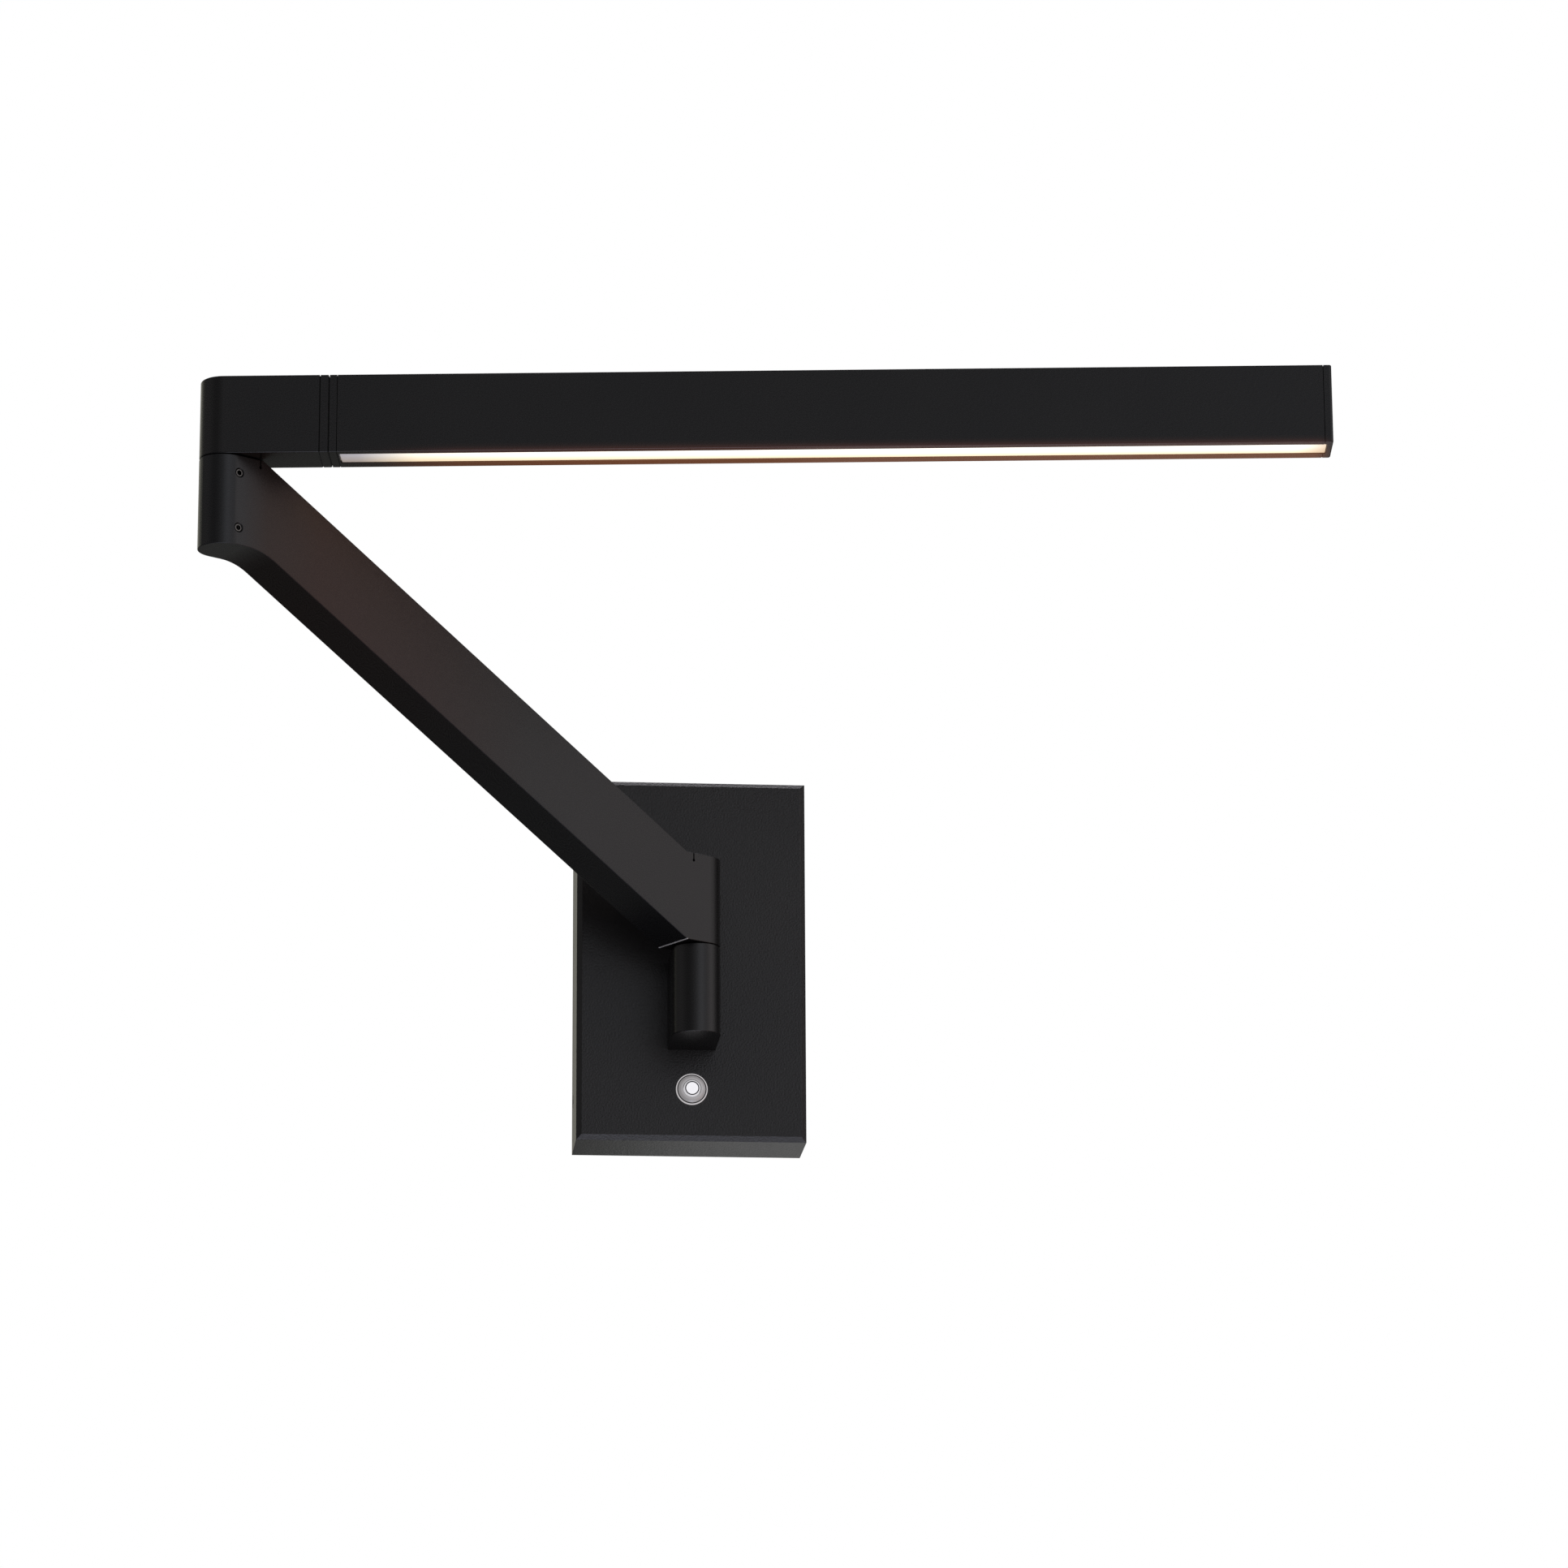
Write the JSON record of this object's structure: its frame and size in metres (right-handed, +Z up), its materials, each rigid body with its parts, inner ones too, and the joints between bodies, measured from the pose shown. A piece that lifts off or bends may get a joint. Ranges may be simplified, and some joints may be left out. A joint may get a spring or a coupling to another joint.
{
  "type": "picture light",
  "caption": "Wall-mounted picture light: canopy with push switch, a post carrying a swinging cranked arm, and a long rolling light bar with an opal lens underneath.",
  "frame": {"origin": "centre of the canopy back, on the wall, midway between the two wall-box screw slots", "axes": "+Y into the wall, +Z up, +X to the right as one faces the lamp"},
  "size_m": [0.5614, 0.3035, 0.3407],
  "materials": {
    "black_coat": "satin powder coat",
    "black_screw": "black oxide",
    "zinc_steel": "zinc plated",
    "brass": "satin",
    "rubber": "matt",
    "white_plastic": "satin",
    "grey_plastic": "satin",
    "nylon": "satin",
    "chrome": "polished",
    "black_plastic": "satin",
    "aluminium": "extruded",
    "board_white": "solder mask",
    "led_yellow": "phosphor",
    "opal": "opal, lit"
  },
  "bodies": {
    "wall_unit": {"canopy_cover": "black_coat", "wall_bracket": "zinc_steel", "cable_grommet": "rubber", "earth_screw": "brass", "led_driver": "white_plastic", "driver_screws": "zinc_steel", "terminal_block": "grey_plastic", "terminal_screws": "zinc_steel", "cover_screws": "black_screw", "wall_post": "black_coat", "post_screws": "zinc_steel", "post_backing_plate": "zinc_steel", "lower_pivot_tube": "zinc_steel", "lower_thrust_washer": "nylon", "lower_friction_washer": "nylon", "lower_pivot_nut": "brass", "switch_bezel": "chrome", "switch_nut": "zinc_steel", "switch_body": "black_plastic", "switch_terminals": "brass"},
    "button": {"push_button": "chrome"},
    "arm": {"arm_casting": "black_coat", "arm_top_cover": "black_coat", "arm_cover_screws": "black_screw", "lower_knuckle_cap": "black_coat", "arm_set_screws": "black_screw", "upper_pivot_shaft": "zinc_steel", "upper_thrust_washer": "nylon", "upper_friction_washer": "nylon", "upper_pivot_nut": "brass"},
    "hub": {"head_hub": "black_coat", "roll_collar": "black_coat", "collar_screws": "black_screw", "roll_pivot_tube": "zinc_steel", "roll_friction_washer": "nylon", "roll_pivot_nut": "brass"},
    "light_bar": {"inner_end_plate": "black_coat", "inner_plate_screws": "black_screw", "bar_housing": "black_coat", "heat_sink": "aluminium", "heat_sink_screws": "zinc_steel", "led_board": "board_white", "led_chips": "led_yellow", "diffuser": "opal", "outer_end_cap": "black_coat", "end_cap_screws": "black_screw"}
  },
  "joints": [
    {"name": "arm_swing", "type": "hinge", "parent": "wall_unit", "child": "arm", "pos_m": [0, -0.073, 0], "axis": [0, 0, 1], "range_deg": [-33, 147]},
    {"name": "head_swing", "type": "hinge", "parent": "arm", "child": "hub", "pos_m": [-0.24741, -0.23367, 0.2037], "axis": [0, 0, 1], "range_deg": [-301, 19]},
    {"name": "bar_roll", "type": "hinge", "parent": "hub", "child": "light_bar", "pos_m": [-0.1948, -0.2392, 0.22395], "axis": [0.9945, -0.1045, 0], "range_deg": [-90, 90]},
    {"name": "button_press", "type": "slide", "parent": "wall_unit", "child": "button", "axis": [0, 1, 0], "range_m": [0, 0.0015], "stiffness_N_per_m": 1500, "springref_m": -0.0012}
  ]
}
